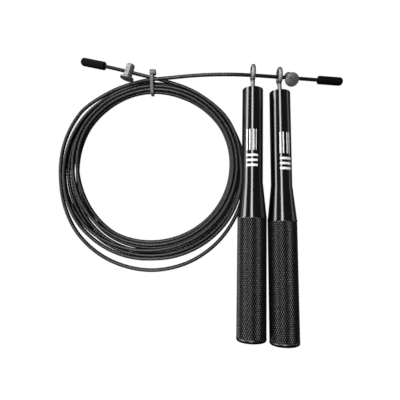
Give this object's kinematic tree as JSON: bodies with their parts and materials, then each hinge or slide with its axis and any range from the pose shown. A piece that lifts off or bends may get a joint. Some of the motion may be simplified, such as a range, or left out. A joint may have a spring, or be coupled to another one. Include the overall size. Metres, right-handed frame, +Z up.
{
  "type": "jump rope",
  "caption": "Speed jump rope: two slim knurled metal handles with swivelling eyes on ball bearings, and one thin coated cable, coiled and tied, with clamp stoppers and capped ends.",
  "frame": {"origin": "on the surface that the rope lies on, at the bottom centre of the box of the two handles with their eyes", "axes": "+X across the two handles, away from the coil; +Y from the grips to the eyes; +Z up from the surface"},
  "size_m": [0.1903, 0.1874, 0.0186],
  "materials": {
    "black_anodised": "glossy black anodised tube, knurled grip",
    "black_plastic": "satin black",
    "bearing_steel": "ground",
    "cage_brass": "plain",
    "satin_nickel": "satin nickel plate",
    "bright_nickel": "bright nickel plate",
    "black_cable": "black coating over twisted wire strands",
    "grey_nylon": "grey nylon",
    "black_rubber": "matte black"
  },
  "bodies": {
    "root": {"cable_coil": "black_cable", "cable_loose_turn": "black_cable", "cable_tail_left": "black_cable", "cable_lead_right": "black_cable", "cable_tie": "grey_nylon", "left_end_cap": "black_rubber", "right_end_cap": "black_rubber"},
    "left_stopper": {"left_stopper_barrel": "bright_nickel"},
    "left_clamp_screw": {"left_stopper_screw": "bright_nickel"},
    "left_eye": {"left_bearing_upper_inner_ring": "bearing_steel", "left_bearing_lower_inner_ring": "bearing_steel", "left_bearing_spacer": "bearing_steel", "left_eye_bolt": "satin_nickel", "left_eye_washer": "bearing_steel", "left_lock_nut": "bearing_steel"},
    "left_handle": {"left_handle_shell": "black_anodised", "left_end_plug": "black_plastic", "left_retaining_ring": "bearing_steel", "left_bearing_upper_outer_ring": "bearing_steel", "left_bearing_lower_outer_ring": "bearing_steel"},
    "left_bearing_balls": {"left_bearing_upper_balls": "bearing_steel", "left_bearing_upper_cage": "cage_brass", "left_bearing_lower_balls": "bearing_steel", "left_bearing_lower_cage": "cage_brass"},
    "right_stopper": {"right_stopper_barrel": "bright_nickel"},
    "right_clamp_screw": {"right_stopper_screw": "bright_nickel"},
    "right_eye": {"right_bearing_upper_inner_ring": "bearing_steel", "right_bearing_lower_inner_ring": "bearing_steel", "right_bearing_spacer": "bearing_steel", "right_eye_bolt": "satin_nickel", "right_eye_washer": "bearing_steel", "right_lock_nut": "bearing_steel"},
    "right_handle": {"right_handle_shell": "black_anodised", "right_end_plug": "black_plastic", "right_retaining_ring": "bearing_steel", "right_bearing_upper_outer_ring": "bearing_steel", "right_bearing_lower_outer_ring": "bearing_steel"},
    "right_bearing_balls": {"right_bearing_upper_balls": "bearing_steel", "right_bearing_upper_cage": "cage_brass", "right_bearing_lower_balls": "bearing_steel", "right_bearing_lower_cage": "cage_brass"}
  },
  "joints": [
    {"name": "left_eye_swing", "type": "hinge", "parent": "root", "child": "left_eye", "pos_m": [-0.00662, 0.0819, 0.00959], "axis": [-0.9944, 0.0252, 0.1022], "range_deg": [0, 175]},
    {"name": "left_handle_spin", "type": "hinge", "parent": "left_eye", "child": "left_handle", "pos_m": [-0.0104, -0.088, 0.0093], "axis": [0.0219, 0.9998, 0], "continuous": true},
    {"name": "left_bearing_roll", "type": "hinge", "parent": "left_eye", "child": "left_bearing_balls", "pos_m": [-0.0104, -0.088, 0.0093], "axis": [0.0219, 0.9998, 0], "continuous": true},
    {"name": "left_stopper_slide", "type": "slide", "parent": "root", "child": "left_stopper", "axis": [-0.9628, 0.2661, -0.0475], "range_m": [0, 0.01]},
    {"name": "left_clamp_screw_turn", "type": "hinge", "parent": "left_stopper", "child": "left_clamp_screw", "pos_m": [-0.08998, 0.08653, 0.00474], "axis": [-0.2658, -0.9639, -0.0131], "range_deg": [0, 360]},
    {"name": "right_eye_swing", "type": "hinge", "parent": "root", "child": "right_eye", "pos_m": [0.01086, 0.08146, 0.00779], "axis": [-0.9944, 0.0252, 0.1022], "range_deg": [0, 175]},
    {"name": "right_handle_spin", "type": "hinge", "parent": "right_eye", "child": "right_handle", "pos_m": [0.01, -0.0901, 0.0093], "axis": [0.005, 1, 0], "continuous": true},
    {"name": "right_bearing_roll", "type": "hinge", "parent": "right_eye", "child": "right_bearing_balls", "pos_m": [0.01, -0.0901, 0.0093], "axis": [0.005, 1, 0], "continuous": true},
    {"name": "right_stopper_slide", "type": "slide", "parent": "root", "child": "right_stopper", "axis": [0.9944, -0.0252, -0.1022], "range_m": [0, 0.01]},
    {"name": "right_clamp_screw_turn", "type": "hinge", "parent": "right_stopper", "child": "right_clamp_screw", "pos_m": [0.01852, 0.08126, 0.007], "axis": [0.0663, -0.6048, 0.7936], "range_deg": [0, 360]}
  ],
  "couplings": [
    {"joint": "left_bearing_roll", "follows": "left_handle_spin", "ratio": 0.62215},
    {"joint": "right_bearing_roll", "follows": "right_handle_spin", "ratio": 0.62215}
  ]
}
